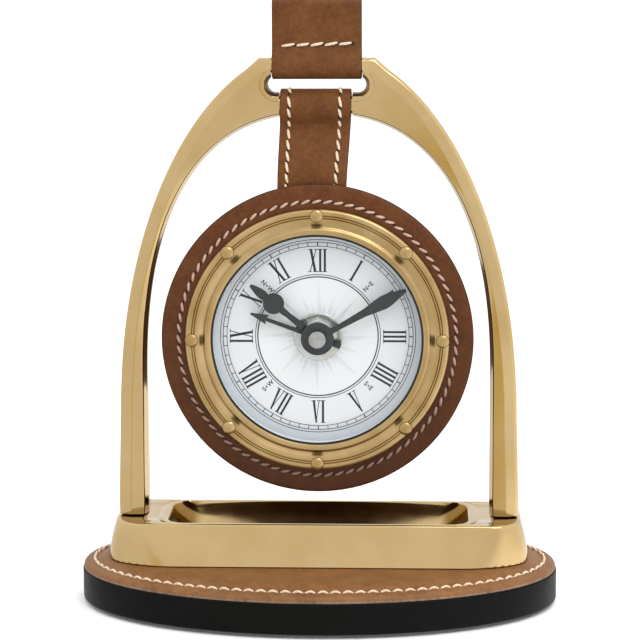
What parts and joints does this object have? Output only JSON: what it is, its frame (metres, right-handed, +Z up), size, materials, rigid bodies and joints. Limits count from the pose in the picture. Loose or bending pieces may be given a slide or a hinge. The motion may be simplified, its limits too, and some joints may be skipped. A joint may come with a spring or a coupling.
{
  "type": "desk clock",
  "caption": "Round desk clock with a brass bezel and leather face, hung from a leather strap in a brass stirrup that stands on an oval leather-topped plinth.",
  "frame": {"origin": "middle of the underside of the felt pad, straight below the middle of the bow", "axes": "+Z up, the clock's face looks towards -Y, +X to the viewer's right"},
  "size_m": [0.169, 0.101, 0.213],
  "materials": {
    "felt": "dense black felt",
    "black_lacquer": "black gloss lacquer on wood",
    "top_leather": "waxed tan saddle leather",
    "strap_leather": "waxed brown saddle leather",
    "face_leather": "waxed brown saddle leather with a burnished edge",
    "cast_brass": "cast, polished and lightly lacquered",
    "turned_brass": "turned and satin brushed",
    "steel": "zinc-plated steel",
    "clear_glass": "clear, slightly domed",
    "dial_white": "satin white print ground",
    "white_plastic": "satin white",
    "black_plastic": "moulded black",
    "hand_black": "satin black paint",
    "cell_jacket": "printed shrink jacket without print"
  },
  "bodies": {
    "stand": {"felt_pad": "felt", "plinth": "black_lacquer", "plinth_leather": "top_leather", "tread": "cast_brass", "bow_left": "cast_brass", "bow_right": "cast_brass", "bow_crown": "cast_brass", "foot_screw_left": "steel", "foot_screw_right": "steel", "foot_washer_left": "steel", "foot_washer_right": "steel"},
    "pull_loop": {"pull_loop": "strap_leather"},
    "clock": {"hanging_strap": "strap_leather", "strap_screw_left": "steel", "strap_screw_right": "steel", "case_drum": "black_lacquer", "face_leather": "face_leather", "bezel": "turned_brass", "bezel_pin_1": "turned_brass", "bezel_pin_2": "turned_brass", "bezel_pin_3": "turned_brass", "bezel_pin_4": "turned_brass", "bezel_pin_5": "turned_brass", "bezel_pin_6": "turned_brass", "bezel_pin_7": "turned_brass", "bezel_pin_8": "turned_brass", "glass": "clear_glass", "dial_spacer": "white_plastic", "dial": "dial_white", "centre_bushing": "turned_brass", "dial_washer": "steel", "dial_nut": "steel", "movement_case": "black_plastic", "movement_cover": "black_plastic", "battery": "cell_jacket", "battery_contact_minus": "steel", "battery_contact_plus": "steel"},
    "alarm_arbor": {"alarm_pipe": "turned_brass", "alarm_hand": "hand_black"},
    "hour_arbor": {"hour_pipe": "turned_brass", "hour_hand": "hand_black"},
    "minute_arbor": {"minute_shaft": "turned_brass", "minute_hand": "hand_black", "cap_nut": "steel"},
    "time_setting": {"time_knob": "black_plastic"},
    "alarm_setting": {"alarm_knob": "black_plastic"},
    "alarm_slider": {"alarm_switch": "black_plastic"}
  },
  "joints": [
    {"name": "clock_swing", "type": "hinge", "parent": "stand", "child": "clock", "pos_m": [0, 0, 0.1767], "axis": [1, 0, 0], "range_deg": [-45, 45]},
    {"name": "pull_loop_turn", "type": "hinge", "parent": "stand", "child": "pull_loop", "pos_m": [0, 0, 0.1903], "axis": [1, 0, 0], "range_deg": [-110, 110]},
    {"name": "minute_turn", "type": "hinge", "parent": "clock", "child": "minute_arbor", "pos_m": [0, 0, 0.0955], "axis": [0, 1, 0], "continuous": true},
    {"name": "hour_turn", "type": "hinge", "parent": "clock", "child": "hour_arbor", "pos_m": [0, 0, 0.0955], "axis": [0, 1, 0], "continuous": true},
    {"name": "alarm_turn", "type": "hinge", "parent": "clock", "child": "alarm_arbor", "pos_m": [0, 0, 0.0955], "axis": [0, 1, 0], "continuous": true},
    {"name": "time_knob_turn", "type": "hinge", "parent": "clock", "child": "time_setting", "pos_m": [-0.014, 0, 0.1015], "axis": [0, 1, 0], "continuous": true},
    {"name": "alarm_knob_turn", "type": "hinge", "parent": "clock", "child": "alarm_setting", "pos_m": [0.014, 0, 0.1015], "axis": [0, 1, 0], "continuous": true},
    {"name": "alarm_switch_slide", "type": "slide", "parent": "clock", "child": "alarm_slider", "axis": [1, 0, 0], "range_m": [0, 0.004]}
  ],
  "couplings": [
    {"joint": "hour_turn", "follows": "minute_turn", "ratio": 0.083333},
    {"joint": "time_knob_turn", "follows": "minute_turn", "ratio": -1},
    {"joint": "alarm_knob_turn", "follows": "alarm_turn", "ratio": -1}
  ]
}
